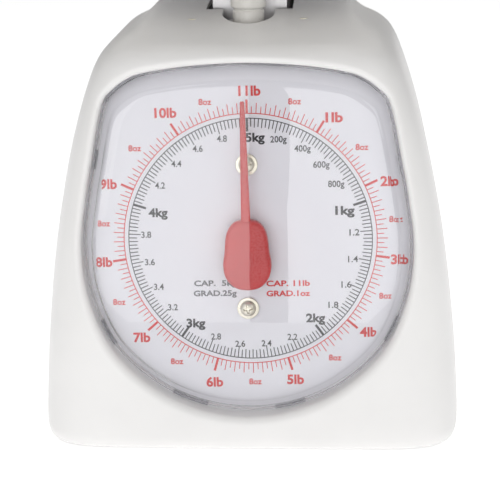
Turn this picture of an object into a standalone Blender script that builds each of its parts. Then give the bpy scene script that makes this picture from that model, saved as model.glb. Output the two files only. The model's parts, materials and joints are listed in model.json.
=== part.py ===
"""Mechanical dial platform scale: casing, chassis, spring carriage, rack, pinion and pointer.

Sizes are in millimetres and turn into metres in the mesh helpers. +X is the scale's right
as its reader sees it, +Y runs back from the dial and +Z is up.
"""
import bpy
import bmesh
from math import asin, cos, degrees, pi, radians, sin, tan
from mathutils import Vector

MM = 0.001
FIT = 0.3                      # gap left between pieces that touch

# Driving sizes
TILT = 5.0                     # the dial leans back by this many degrees
DIAL_Y, DIAL_Z = -71.0, 105.0  # middle of the dial's face
WALL = 2.5                     # casing wall
PITCH_RADIUS = 2.5             # pinion, ten teeth of module 0.5
TEETH = 10
TRAVEL = 2 * pi * PITCH_RADIUS / cos(radians(TILT))   # carriage stroke for one pointer turn
SEAM_Y = 40.0                  # joint between the front and rear covers
SLOT_HALF = 22.1               # slot in the casing's top, half width
SLOT_Y = 26.0                  # and half length
NOTCH_RADIUS = 13.2            # round end of the slot's front notch
KNOB_Y = -33.8                 # zero knob's axis, middle of the notch's round end
SCREW_V = 36.6                 # dial screws above and below the dial's middle
LINK_LENGTH = 56.0             # parallel links between chassis and carriage
CHASSIS_PIN_Y = 50.0
CARRIAGE_PIN_Y = CHASSIS_PIN_Y - LINK_LENGTH
LINK_PIN_Z = (50.0, 150.0)     # chassis ends of the lower and upper link
LINK_RISE = TRAVEL / 2         # the links start this much above level and end as much below
CHEEK_X = 28.0                 # inner faces of the chassis and carriage side plates
SHEET = 2.0                    # steel sheet thickness
SPRING_X = 40.0
HANGER_Z = 186.0               # underside of the spring hanger
HANGER_TOP = 188.5
YOKE_Z = 80.0                  # top of the carriage's spring yoke
COVER_SCREW = (28.0, -39.5)
BOSS = (84.0, 74.0)            # base screws' places, mirrored to the four corners
PLATFORM_HALF = 95.0
PLATFORM_Z = 234.6             # underside of the platform
PLATFORM_DEEP = 9.0
BASE_Z = (3.4, 6.0)            # underside and top of the base plate
BOSS_TOP = 26.0
FOOT = (66.0, 62.0)
FOOT_TOP = 3.1
PIN_RADIUS = 2.0
PIN_HOLE = 2.3
SCREW_RADIUS = 1.9             # shank of every M4 screw
SCREW_HOLE = 2.2               # and its clearance hole
KNOB_FOOT_Z = 208.0            # underside of the zero knob, top of its tongue
ZERO_THREAD = 2.5
UPRIGHT_FACE = -14.0           # front face of the front upright, off the dial's face
UPRIGHT_TOP = 62.0             # and its top, up from the dial's middle
BUSH_RADIUS = 4.0
BUSH_SEAT = 4.3
SHAFT_RADIUS = 1.0
SHAFT_BORE = 1.3
BRACKET_HALF = 19.0            # platform bracket's half width
BRACKET_Y = 22.0               # and half length over its legs
BRACKET_TOP = 232.0
BRACKET_SCREW = (11.0, 178.0)

# Casing levels: height, half width, front, back, squareness of the plan outline
CASING = (
    (0.8, 104.5, -93.5, 93.5, 8.0), (2.5, 106.2, -95.2, 95.2, 8.0), (8.0, 107.2, -96.0, 96.0, 8.0),
    (32.0, 106.3, -93.5, 94.5, 8.0), (75.0, 102.6, -89.2, 91.0, 8.0), (106.0, 98.5, -86.2, 88.0, 8.0),
    (126.0, 94.9, -84.4, 86.0, 8.0), (147.0, 90.5, -82.6, 83.5, 8.0), (167.0, 85.1, -80.8, 80.5, 8.0),
    (180.0, 80.8, -79.7, 78.5, 8.0), (190.0, 76.9, -78.6, 76.5, 7.6), (195.5, 73.8, -77.2, 75.0, 7.2),
    (199.0, 70.6, -75.0, 73.0, 6.8), (201.6, 67.2, -71.5, 70.6, 6.4), (205.2, 60.3, -60.5, 66.5, 5.8),
    (208.7, 56.0, -49.0, 62.0, 5.4), (211.6, 53.0, -38.0, 58.0, 5.2), (213.6, 51.0, -27.0, 54.0, 5.0),
    (214.6, 48.5, -18.0, 49.0, 5.0),
)

# Right half of the window in the casing, from its top middle round to its bottom middle
WINDOW = (
    (0, 88.3), (28, 86.9), (50, 83.6), (59, 80), (65, 75.5), (69.8, 70.2), (73, 59), (76.2, 42),
    (80, 21.5), (82.8, -3.5), (79.8, -28.7), (68.8, -54.4), (48.5, -74), (25.2, -85.3), (0, -89.1),
)
# Right half of the pointer's hub, a pear that balances the needle
HUB = (
    (0, 10.6), (6, 9.2), (9.4, 5), (10.6, 0), (11.1, -5.5), (12, -12.5), (10.6, -19), (6.2, -23.6),
    (0, -24.9),
)
NEEDLE_TOP = 70.5

COLOURS = {
    "white_abs": ((0.83, 0.82, 0.81), 0.28, 0.0), "clear": ((0.9, 0.91, 0.93), 0.06, 0.0),
    "print": ((0.80, 0.79, 0.81), 0.5, 0.0), "red": ((0.62, 0.06, 0.05), 0.35, 0.0),
    "steel": ((0.55, 0.55, 0.56), 0.38, 1.0), "brass": ((0.72, 0.55, 0.28), 0.32, 1.0),
    "zinc": ((0.66, 0.62, 0.55), 0.3, 1.0), "rubber": ((0.03, 0.03, 0.032), 0.8, 0.0),
    "spring": ((0.42, 0.42, 0.44), 0.3, 1.0), "stainless": ((0.62, 0.62, 0.63), 0.25, 1.0),
}


# ---------------------------------------------------------------- helpers

def clear_scene():
    for obj in list(bpy.data.objects):
        bpy.data.objects.remove(obj, do_unlink=True)


def new_collection(name, hidden=False):
    group = bpy.data.collections.new(name)
    bpy.context.scene.collection.children.link(group)
    group.hide_render = hidden
    return group


def material(node, kind):
    colour, roughness, metallic = COLOURS[kind]
    mat = bpy.data.materials.new(node)
    mat.use_nodes = True
    shader = mat.node_tree.nodes["Principled BSDF"]
    shader.inputs["Base Color"].default_value = (*colour, 1.0)
    shader.inputs["Roughness"].default_value = roughness
    shader.inputs["Metallic"].default_value = metallic
    if kind == "clear":
        shader.inputs["Transmission Weight"].default_value = 1.0
        shader.inputs["IOR"].default_value = 1.49
    return mat


def empty(name, parent=None, at=(0, 0, 0), turn=(0, 0, 0)):
    obj = bpy.data.objects.new(name, None)
    parts.objects.link(obj)
    place(obj, parent, at, turn)
    return obj


def place(obj, parent, at=(0, 0, 0), turn=(0, 0, 0)):
    obj.parent = parent
    obj.location = Vector(at) * MM
    obj.rotation_euler = [radians(angle) for angle in turn]


def new_object(name, bm, kind, parent=None, at=(0, 0, 0), turn=(0, 0, 0)):
    """Puts a bmesh in the scene: a part when it has a material kind, or else a hidden cutter."""
    bmesh.ops.recalc_face_normals(bm, faces=bm.faces)
    mesh = bpy.data.meshes.new(name)
    bm.to_mesh(mesh)
    bm.free()
    obj = bpy.data.objects.new(name, mesh)
    if kind is None:
        cutters.objects.link(obj)
        obj.hide_render = True
        obj.display_type = "WIRE"
    else:
        parts.objects.link(obj)
        mesh.materials.append(material(name, kind))
    place(obj, parent, at, turn)
    return obj


def box(name, low, high, kind=None, parent=None, **where):
    bm = bmesh.new()
    bmesh.ops.create_cube(bm, size=1.0)
    low, high = Vector(low) * MM, Vector(high) * MM
    bmesh.ops.scale(bm, vec=high - low, verts=bm.verts)
    bmesh.ops.translate(bm, vec=(low + high) / 2, verts=bm.verts)
    return new_object(name, bm, kind, parent, **where)


def rod(name, radius, low, high, kind=None, parent=None, xy=(0, 0), sides=20, tip=None, **where):
    """A cylinder, or a cone when it has a tip radius, along local Z from low to high."""
    bm = bmesh.new()
    bmesh.ops.create_cone(bm, cap_ends=True, segments=sides, radius1=radius * MM,
                          radius2=(radius if tip is None else tip) * MM, depth=(high - low) * MM)
    bmesh.ops.translate(bm, vec=Vector((xy[0], xy[1], (low + high) / 2)) * MM, verts=bm.verts)
    obj = new_object(name, bm, kind, parent, **where)
    if kind is not None:
        smooth(obj)
    return obj


def prism(name, outline, low, high, kind=None, parent=None, **where):
    """A flat outline in local XY, extruded along local Z from low to high."""
    bm = bmesh.new()
    verts = [bm.verts.new(Vector((x, y, low)) * MM) for x, y in outline]
    face = bm.faces.new(verts)
    grown = bmesh.ops.extrude_face_region(bm, geom=[face])["geom"]
    raised = [item for item in grown if isinstance(item, bmesh.types.BMVert)]
    bmesh.ops.translate(bm, vec=Vector((0, 0, high - low)) * MM, verts=raised)
    return new_object(name, bm, kind, parent, **where)


def across(name, outline, half_width, kind=None):
    """A side view in world YZ, extruded along X to both sides of the middle."""
    return prism(name, outline, -half_width, half_width, kind, turn=(90, 0, 90))


def loft(name, rings, kind, solid=False):
    """Skins rings of equal length and closes the last one. The first one stays open unless solid."""
    bm = bmesh.new()
    verts = [bm.verts.new(Vector(point) * MM) for point in rings[0]]
    count = len(verts)
    edges = [bm.edges.new((verts[i], verts[(i + 1) % count])) for i in range(count)]
    first = list(edges)
    for ring in rings[1:]:
        grown = bmesh.ops.extrude_edge_only(bm, edges=edges)["geom"]
        edges = [item for item in grown if isinstance(item, bmesh.types.BMEdge)]
        # the new edges come in the order of the old ones, so each first vertex is the next point
        bm.verts.ensure_lookup_table()
        fresh = bm.verts[-count:]
        for vert, point in zip(fresh, ring):
            vert.co = Vector(point) * MM
    bmesh.ops.contextual_create(bm, geom=edges)
    if solid:
        bmesh.ops.contextual_create(bm, geom=first)
    return new_object(name, bm, kind)


def turned(name, profile, kind, parent=None, sides=24, **where):
    """A profile of radius and height pairs, from its top to its bottom, turned round local Z.

    It closes on itself when it starts away from the axis, as a ring's does.
    """
    mesh = bpy.data.meshes.new(name)
    count = len(profile)
    edges = [(i, i + 1) for i in range(count - 1)]
    if profile[0][0] > 0:
        edges.append((count - 1, 0))
    mesh.from_pydata([(radius * MM, 0, height * MM) for radius, height in profile], edges, [])
    obj = bpy.data.objects.new(name, mesh)
    parts.objects.link(obj)
    mesh.materials.append(material(name, kind))
    place(obj, parent, **where)
    screw = obj.modifiers.new("Screw", "SCREW")
    screw.steps = screw.render_steps = sides
    screw.use_merge_vertices = True
    screw.merge_threshold = 0.00001
    screw.use_normal_flip = False
    return obj


def smooth(obj):
    for face in obj.data.polygons:
        face.use_smooth = True


def modify(obj, kind, **values):
    mod = obj.modifiers.new(kind.title(), kind)
    for key, value in values.items():
        setattr(mod, key, value)
    return mod


def cut(obj, *tools, operation="DIFFERENCE"):
    for tool in tools:
        modify(obj, "BOOLEAN", operation=operation, object=tool, solver="EXACT")


def bevel(obj, width, segments=2, angle=30):
    modify(obj, "BEVEL", width=width * MM, segments=segments, limit_method="ANGLE",
           angle_limit=radians(angle))


def mirror_loop(half):
    """Closes a right half outline, which starts and ends on the middle line, with its left half."""
    return list(half) + [(-x, y) for x, y in reversed(half[1:-1])]


def spline_loop(points, steps):
    """A Catmull-Rom curve through a closed loop of points."""
    count, loop = len(points), []
    for i in range(count):
        p0, p1, p2, p3 = (Vector(points[(i + k) % count]) for k in (-1, 0, 1, 2))
        for step in range(steps):
            t = step / steps
            loop.append(tuple(0.5 * ((2 * p1) + (p2 - p0) * t + (2 * p0 - 5 * p1 + 4 * p2 - p3) * t ** 2
                                     + (3 * p1 - p0 - 3 * p2 + p3) * t ** 3)))
    return loop


def channel(inner, outer, open_end, closed_end, web):
    """Plan of a U channel: inner and outer half widths, and the Y of its open and closed ends."""
    inside = closed_end - web if closed_end > open_end else closed_end + web
    return ((-outer, open_end), (-outer, closed_end), (outer, closed_end), (outer, open_end),
            (inner, open_end), (inner, inside), (-inner, inside), (-inner, open_end))


def window_loop(wide=1.0, tall=1.0, steps=2):
    return [(x * wide, y * tall) for x, y in spline_loop(mirror_loop(WINDOW), steps)]


def rounded_square(half, radius, steps=4):
    loop = []
    for quarter in range(4):
        middle = radians(45 + 90 * quarter)
        cx = (half - radius) * (1 if cos(middle) > 0 else -1)
        cy = (half - radius) * (1 if sin(middle) > 0 else -1)
        for step in range(steps + 1):
            angle = radians(90 * quarter + 90 * step / steps)
            loop.append((cx + radius * cos(angle), cy + radius * sin(angle)))
    return loop


def plan_loop(half_width, front, back, power, count=48):
    """Superellipse in plan. A high power is nearly a rectangle with a slightly bowed front."""
    mid, deep = (front + back) / 2, (back - front) / 2
    loop = []
    for i in range(count):
        angle = 2 * pi * i / count
        c, s = cos(angle), sin(angle)
        loop.append((half_width * abs(c) ** (2 / power) * (1 if c >= 0 else -1),
                     mid + deep * abs(s) ** (2 / power) * (1 if s >= 0 else -1)))
    return loop


def dial_yz(off, up):
    """World Y and Z of a place in the dial's frame: off its face to the reader, and up along it."""
    a = radians(TILT)
    return (DIAL_Y - off * cos(a) + up * sin(a), DIAL_Z + off * sin(a) + up * cos(a))


def dial_y_at(off, z):
    """World Y at height z of the plane that lies this far off the dial's face."""
    a = radians(TILT)
    return DIAL_Y + tan(a) * (z - DIAL_Z) - off / cos(a)


# ---------------------------------------------------------------- casing

def casing_rings(scale=1.0):
    return [[(x * scale, y * scale, z) for x, y in plan_loop(half, front, back, power)]
            for z, half, front, back, power in CASING]


def casing_shell(name):
    obj = loft(name, casing_rings(), "white_abs")
    modify(obj, "SOLIDIFY", thickness=WALL * MM, offset=-1.0, use_even_offset=True)
    smooth(obj)
    return obj


def slot_outline():
    """The slot's rectangle with a notch in its front edge that ends in a half circle."""
    notch = [(NOTCH_RADIUS * cos(radians(a)), KNOB_Y + NOTCH_RADIUS * sin(radians(a)))
             for a in range(180, 361, 15)]
    return [(-SLOT_HALF, SLOT_Y), (-SLOT_HALF, -SLOT_Y), (-NOTCH_RADIUS, -SLOT_Y), *notch,
            (NOTCH_RADIUS, -SLOT_Y), (SLOT_HALF, -SLOT_Y), (SLOT_HALF, SLOT_Y)]


def boss_with_hole(cover, front_or_back):
    """Two screw bosses, each tied to the side wall by a rib."""
    for side in (-1, 1):
        x, y = side * BOSS[0], front_or_back * BOSS[1]
        wall_x = side * 104
        tag = f"{cover.name}_{'right' if side > 0 else 'left'}"
        rib = box(f"boss_rib_{tag}", (min(x, wall_x), y - 1.5, 8), (max(x, wall_x), y + 1.5, BOSS_TOP))
        cut(cover, rod(f"boss_{tag}", 5, BASE_Z[1] + FIT, BOSS_TOP, xy=(x, y)), rib, operation="UNION")
        cut(cover, rod(f"boss_hole_{tag}", SCREW_HOLE, 5, BOSS_TOP - 4, xy=(x, y), sides=12))


def front_cover():
    obj = casing_shell("front_cover")
    cut(obj, box("front_half", (-130, -130, -5), (130, SEAM_Y - FIT / 2, 230)), operation="INTERSECT")
    collar = prism("window_collar", window_loop(1.028, 1.028), 2.8 + FIT, 40, parent=dial_axis)
    cut(collar, loft("casing_core", casing_rings(0.988), None, solid=True), operation="INTERSECT")
    cut(obj, collar, operation="UNION")
    cut(obj, prism("window_cutter", window_loop(), -2, 40, parent=dial_axis),
        prism("slot_cutter", slot_outline(), 195, 225))
    for side in (-1, 1):
        xy = (side * COVER_SCREW[0], COVER_SCREW[1])
        cut(obj, rod(f"recess_{side}", 3.4, 209.2, 213.4, xy=xy, tip=8.2),
            rod(f"recess_hole_{side}", SCREW_HOLE, 200, 212, xy=xy, sides=12))
    boss_with_hole(obj, -1)


def rear_cover():
    obj = casing_shell("rear_cover")
    cut(obj, box("rear_half", (-130, SEAM_Y + FIT / 2, -5), (130, 130, 230)), operation="INTERSECT")
    boss_with_hole(obj, 1)


def base_and_feet():
    plate = prism("base_plate", plan_loop(99.5, -88.0, 88.0, 8.0), *BASE_Z, "white_abs")
    for x_name, x in (("left", -1), ("right", 1)):
        for y_name, y in (("front", -1), ("rear", 1)):
            place_xy = (x * BOSS[0], y * BOSS[1])
            cut(plate, rod(f"base_hole_{y_name}_{x_name}", SCREW_HOLE, 0, 8, xy=place_xy, sides=12))
            under_head = BASE_Z[0] - FIT
            screw_profile = ((0, 20), (SCREW_RADIUS, 20), (SCREW_RADIUS, under_head), (3.8, under_head),
                             (3.3, 1.6), (0, 1.2))
            turned(f"base_screw_{y_name}_{x_name}", screw_profile, "zinc", sides=12,
                   at=(*place_xy, 0))
            rod(f"foot_{y_name}_{x_name}", 7.0, 0, FOOT_TOP, "rubber", xy=(x * FOOT[0], y * FOOT[1]),
                tip=8.0)


def cover_screws():
    for name, side in (("left", -1), ("right", 1)):
        at = (side * COVER_SCREW[0], COVER_SCREW[1], 0)
        turned(f"cover_screw_{name}", ((0, 211.0), (2.6, 210.9), (2.9, 210.0), (1.6, 209.3), (1.6, 191),
                                       (0, 191)), "zinc", sides=12, at=at)
        post = rod(f"cover_post_{name}", 3.6, HANGER_TOP + FIT, 206.4, "steel", sides=12, at=at)
        cut(post, rod(f"post_bore_{name}", SCREW_RADIUS, 180, 215, sides=12, at=at))


# ---------------------------------------------------------------- dial

def dial_plate():
    plate = prism("dial_plate", window_loop(1.03, 1.03), -1.2, 0, "print", dial_axis)
    cut(plate, rod("plate_bore", 5, -5, 5, parent=dial_axis))
    for name, side in (("upper", 1), ("lower", -1)):
        up = side * SCREW_V
        cut(plate, rod(f"plate_hole_{name}", SCREW_HOLE, -5, 5, parent=dial_axis, xy=(0, up), sides=12))
        tail = UPRIGHT_FACE - 1.5
        turned(f"dial_screw_{name}", ((0, 3.9), (1.6, 3.8), (3.2, 3.2), (4.0, 2.2), (4.0, 1.4),
                                      (SCREW_RADIUS, 1.4), (SCREW_RADIUS, tail), (0, tail)),
               "zinc", dial_axis, at=(0, up, 0))
        ring("dial_washer_" + name, 5.5, PIN_HOLE, FIT, 1.1, "zinc", up)
        ring("dial_spacer_" + name, 4.5, PIN_HOLE, UPRIGHT_FACE + FIT, -1.2 - FIT, "steel", up)


def ring(name, outer, inner, low, high, kind, up=0.0):
    """A washer, spacer or bush on the dial's frame."""
    turned(name, ((inner, high), (outer, high), (outer, low), (inner, low)), kind, dial_axis, sides=16,
           at=(0, up, 0))


def dial_lens():
    """Flat front, sloping border and a thin flange that lies behind the casing's wall."""
    outer, border = window_loop(1.022, 1.022), window_loop(0.985, 0.985)
    flat = window_loop(0.924, 0.903)
    rings = [[(x, y, 2.6) for x, y in outer], [(x, y, 2.8) for x, y in border],
             [(x, y, 12.6) for x, y in flat]]
    obj = loft("dial_lens", rings, "clear")
    place(obj, dial_axis)
    modify(obj, "SOLIDIFY", thickness=1.4 * MM, offset=-1.0, use_even_offset=True)


# ---------------------------------------------------------------- chassis

def chassis():
    floor_z = BASE_Z[1] + FIT
    box("chassis_base", (-45, -72, floor_z), (45, 76, floor_z + SHEET), "steel")
    foot_z = floor_z + SHEET + FIT
    upright = prism("rear_upright", channel(CHEEK_X, CHEEK_X + SHEET, 44, 62, SHEET), foot_z,
                    HANGER_Z - FIT, "steel")
    for name, z in zip(("lower", "upper"), LINK_PIN_Z):
        where = dict(at=(0, CHASSIS_PIN_Y, z), turn=(0, 90, 0), sides=12)
        cut(upright, rod(f"upright_hole_{name}", PIN_HOLE, -40, 40, **where))
        rod(f"{name}_chassis_pin", PIN_RADIUS, -33, 33, "steel", **where)
    face, back = UPRIGHT_FACE, UPRIGHT_FACE - SHEET
    side_view = (dial_yz(face, UPRIGHT_TOP), dial_yz(back, UPRIGHT_TOP),
                 (dial_y_at(back, foot_z + SHEET), foot_z + SHEET),
                 (-30, foot_z + SHEET), (-30, foot_z), (dial_y_at(face, foot_z), foot_z))
    front = across("front_upright", side_view, CHEEK_X, "steel")
    cut(front, rod("bush_seat", BUSH_SEAT, -25, -5, parent=dial_axis),
        *(rod(f"spacer_hole_{side}", SCREW_HOLE, -25, -5, parent=dial_axis, xy=(0, side * SCREW_V),
              sides=12) for side in (-1, 1)))


def spring_hanger():
    """A plate with an arm over each spring, so that the moving parts pass between the arms."""
    obj = prism("spring_hanger", channel(24, 46, -46, 62, 12), HANGER_Z, HANGER_TOP, "steel")
    for side in (-1, 1):
        cut(obj, rod(f"hanger_bore_{side}", SCREW_RADIUS, 180, 195, sides=12,
                     xy=(side * COVER_SCREW[0], COVER_SCREW[1])))


def pinion_bracket():
    """A channel behind the front upright that holds the pinion shaft's rear bush."""
    near = UPRIGHT_FACE - SHEET - FIT
    obj = prism("pinion_bracket", channel(13, 13 + SHEET, near, -36, SHEET), -9, 9, "steel", dial_axis,
                turn=(90, 0, 0))
    cut(obj, rod("rear_bush_seat", BUSH_SEAT, -45, -30, parent=dial_axis))


# ---------------------------------------------------------------- moving pieces

def springs():
    """Extension springs from the hanger to the yoke, as coils with straight ends."""
    low, high = YOKE_Z + 0.4, HANGER_Z - 0.4
    radius, turns, per_turn = 6.0, 13, 8
    for name, side in (("left", -1), ("right", 1)):
        curve = bpy.data.curves.new(f"spring_{name}", "CURVE")
        curve.dimensions = "3D"
        curve.bevel_depth, curve.bevel_resolution, curve.use_fill_caps = 0.8 * MM, 1, True
        points = [(0, 0, low), (0, 0, low + 6)]
        count = turns * per_turn
        for i in range(count + 1):
            angle = 2 * pi * i / per_turn
            points.append((radius * cos(angle), radius * sin(angle),
                           low + 9 + (high - low - 18) * i / count))
        points += [(0, 0, high - 6), (0, 0, high)]
        spline = curve.splines.new("POLY")
        spline.points.add(len(points) - 1)
        for point, co in zip(spline.points, points):
            point.co = (*(Vector(co) * MM), 1)
        curve.materials.append(material(f"spring_{name}", "spring"))
        obj = bpy.data.objects.new(f"spring_{name}", curve)
        parts.objects.link(obj)
        place(obj, None, (side * SPRING_X, CARRIAGE_PIN_Y, 0))


def carriage():
    frame_front = FIT - BRACKET_Y + 2
    frame = prism("carriage_frame", channel(CHEEK_X, CHEEK_X + SHEET, 2, frame_front, SHEET), 46,
                  HANGER_Z - 1.5, "steel", carriage_axis)
    yoke = box("yoke_bar", (-46, CARRIAGE_PIN_Y - 4, YOKE_Z - 3), (46, CARRIAGE_PIN_Y + 4, YOKE_Z),
               parent=carriage_axis)
    cut(frame, yoke, operation="UNION")
    for name, z in zip(("lower", "upper"), LINK_PIN_Z):
        where = dict(at=(0, CARRIAGE_PIN_Y, z + LINK_RISE), turn=(0, 90, 0), sides=12, parent=carriage_axis)
        cut(frame, rod(f"carriage_hole_{name}", PIN_HOLE, -40, 40, **where))
        rod(f"{name}_carriage_pin", PIN_RADIUS, -33, 33, "steel", **where)
    outer, inner, top = BRACKET_Y, BRACKET_Y - 2, BRACKET_TOP
    strap = ((-outer, 172), (-outer, top), (outer, top), (outer, 206), (inner, 206), (inner, top - 2),
             (-inner, top - 2), (-inner, 172))
    leg = across("platform_bracket", strap, BRACKET_HALF, "steel")
    leg.parent = carriage_axis
    under_head = -BRACKET_Y - FIT - 0.1
    profile = ((0, -17), (SCREW_RADIUS, -17), (SCREW_RADIUS, under_head), (3.6, under_head), (3.2, -24.2),
               (0, -24.6))
    for name, side in (("left", -1), ("right", 1)):
        where = dict(at=(side * BRACKET_SCREW[0], 0, BRACKET_SCREW[1]), turn=(-90, 0, 0), sides=12)
        hole = rod(f"strap_hole_{name}", PIN_HOLE, -26, -14, parent=carriage_axis, **where)
        cut(leg, hole)
        cut(frame, hole)
        turned(f"bracket_screw_{name}", profile, "zinc", carriage_axis, **where)


def zero_adjuster():
    """Tongue on the platform bracket, the knob with its threaded rod, and the rack's hanger."""
    round_end = 10.5
    back, top = -BRACKET_Y - FIT, KNOB_FOOT_Z
    arc = [(round_end * cos(radians(a)), KNOB_Y + round_end * sin(radians(a))) for a in range(180, 361, 20)]
    tongue = prism("zero_tongue", [(-round_end, back), *arc, (round_end, back)], top - SHEET, top, "steel",
                   carriage_axis)
    cut(tongue, box("tongue_flange", (-round_end, back - SHEET, 192), (round_end, back, top - 1),
                    parent=carriage_axis), operation="UNION")
    cut(tongue, rod("tongue_hole", ZERO_THREAD + FIT, 200, 215, xy=(0, KNOB_Y), parent=carriage_axis,
                    sides=16))
    foot = FIT
    turned("zero_knob", ((0, 21), (7.5, 21), (9, 19.5), (9, 8), (7.2, 7.4), (7.2, 6.6), (8, 6), (8, foot),
                         (0, foot)), "white_abs", knob_axis)
    rod("zero_screw", ZERO_THREAD, -60, 0, "zinc", knob_axis, sides=16)
    hanger = box("rack_hanger", (-6, -45, 146), (9, -27, 152), "brass", carriage_axis)
    cut(hanger, rod("hanger_thread", ZERO_THREAD + FIT, 140, 160, xy=(0, KNOB_Y), parent=carriage_axis,
                    sides=16))


def rack():
    """Straight rack beside the pinion, its teeth toward -X, parallel to the dial."""
    pitch = 2 * pi * PITCH_RADIUS / TEETH
    tip, root, back, top, teeth = 2.15, 3.2, 8.0, 42.0, 20
    low = -10 * pitch
    outline = [(back, low)]
    for i in range(teeth):
        y = low + i * pitch
        outline += [(root, y), (root, y + 0.50), (tip, y + 0.66), (tip, y + 0.90), (root, y + 1.06)]
    outline += [(root, top), (back, top)]
    obj = prism("rack", outline, -28.5, -23.5, "brass", carriage_axis)
    obj.location = Vector((0, DIAL_Y, DIAL_Z)) * MM
    obj.rotation_euler = (radians(90 - TILT), 0, 0)


def pinion_and_shaft():
    tip, root = 2.85, 1.75
    outline = []
    for i in range(TEETH):
        for turn, radius in ((-0.30, root), (-0.115, tip), (0.115, tip), (0.30, root)):
            angle = 2 * pi * (i + turn) / TEETH
            outline.append((radius * cos(angle), radius * sin(angle)))
    gear = prism("pinion", outline, -30.5, -22.5, "brass", pointer_axis)
    cut(gear, rod("pinion_bore", SHAFT_BORE, -35, -15, parent=pointer_axis, sides=12))
    rod("pointer_shaft", SHAFT_RADIUS, -37.5, 3.6, "steel", pointer_axis, sides=16)
    for name, low, high in (("front", -18.5, -12.5), ("rear", -38, -32)):
        ring(f"{name}_bush", BUSH_RADIUS, SHAFT_BORE, low, high, "brass")


def pointer():
    """Needle and pear hub in one red moulding."""
    hub = prism("pointer", spline_loop(mirror_loop(HUB), 2), 4.0, 10.6, "red", pointer_axis)
    bevel(hub, 2.2, 2, 60)
    needle = prism("needle_blank", ((-2.3, 8), (-1.1, NEEDLE_TOP), (1.1, NEEDLE_TOP), (2.3, 8)), 8.2, 9.8,
                   parent=pointer_axis)
    cut(hub, needle, operation="UNION")


def links():
    """Each link is a frame with a barrel at both ends. The front barrel's hole has play."""
    barrel, bar, play_hole = 5.0, 2.0, 3.2
    steps = range(-90, 91, 30)
    outline = [(barrel * cos(radians(a)), barrel * sin(radians(a))) for a in steps]
    outline += [(-barrel, bar), (barrel - LINK_LENGTH, bar)]
    outline += [(-LINK_LENGTH - barrel * cos(radians(a)), -barrel * sin(radians(a))) for a in steps]
    outline += [(barrel - LINK_LENGTH, -bar), (-barrel, -bar)]
    for name, axis in (("lower", lower_axis), ("upper", upper_axis)):
        obj = across(f"{name}_link", outline, CHEEK_X - 2, "steel")
        obj.parent = axis
        gap = box(f"{name}_link_gap", (-20, barrel + 2 - LINK_LENGTH, -6), (20, -barrel - 2, 6),
                  parent=axis)
        rear = rod(f"{name}_link_rear_hole", PIN_HOLE, -40, 40, parent=axis, turn=(0, 90, 0), sides=12)
        front = rod(f"{name}_link_front_hole", play_hole, -40, 40, parent=axis, at=(0, -LINK_LENGTH, 0),
                    turn=(0, 90, 0), sides=12)
        cut(obj, gap, rear, front)


def platform():
    deep, half = PLATFORM_DEEP, PLATFORM_HALF
    box("platform_support", (-60, -35, BRACKET_TOP + FIT), (60, 35, PLATFORM_Z - FIT), "steel",
        carriage_axis)
    base, top, gauge, corner = PLATFORM_Z, PLATFORM_Z + deep, 1.2, 12.0
    prism("platform_core", rounded_square(half - gauge - FIT, corner - gauge - FIT), base,
          top - gauge - FIT, "white_abs", carriage_axis)
    cover = prism("platform_cover", rounded_square(half, corner), base - 0.4, top, "stainless",
                  carriage_axis)
    cut(cover, prism("cover_hollow", rounded_square(half - gauge, corner - gauge), base - 5, top - gauge,
                     parent=carriage_axis))


# ---------------------------------------------------------------- assembly

clear_scene()
parts = new_collection("dial_platform_scale")
cutters = new_collection("cutters", hidden=True)
dial_axis = empty("dial_axis", at=(0, DIAL_Y, DIAL_Z), turn=(90 - TILT, 0, 0))
pointer_axis = empty("pointer_axis", dial_axis)
carriage_axis = empty("carriage_axis")
knob_axis = empty("knob_axis", carriage_axis, at=(0, KNOB_Y, KNOB_FOOT_Z))
link_turn = (-degrees(asin(LINK_RISE / LINK_LENGTH)), 0, 0)
lower_axis = empty("lower_link_axis", at=(0, CHASSIS_PIN_Y, LINK_PIN_Z[0]), turn=link_turn)
upper_axis = empty("upper_link_axis", at=(0, CHASSIS_PIN_Y, LINK_PIN_Z[1]), turn=link_turn)

for make in (front_cover, rear_cover, base_and_feet, cover_screws, dial_plate, dial_lens, chassis,
             spring_hanger, pinion_bracket, springs, carriage, zero_adjuster, rack, pinion_and_shaft,
             pointer, links, platform):
    make()
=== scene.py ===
"""Looks of a mechanical dial platform scale: moulded covers, clear lens, printed dial and metalwork.

Sizes are in millimetres and turn into metres when a mesh is made. +X is the scale's right as its
reader sees it, +Y runs back from the dial and +Z is up. The dial's own frame has X to the right,
Y up along its face and "off" straight out of the face toward the reader.
"""
import json
from math import cos, pi, radians, sin

import bmesh
import bpy
import numpy as np
from mathutils import Matrix, Vector


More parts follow.
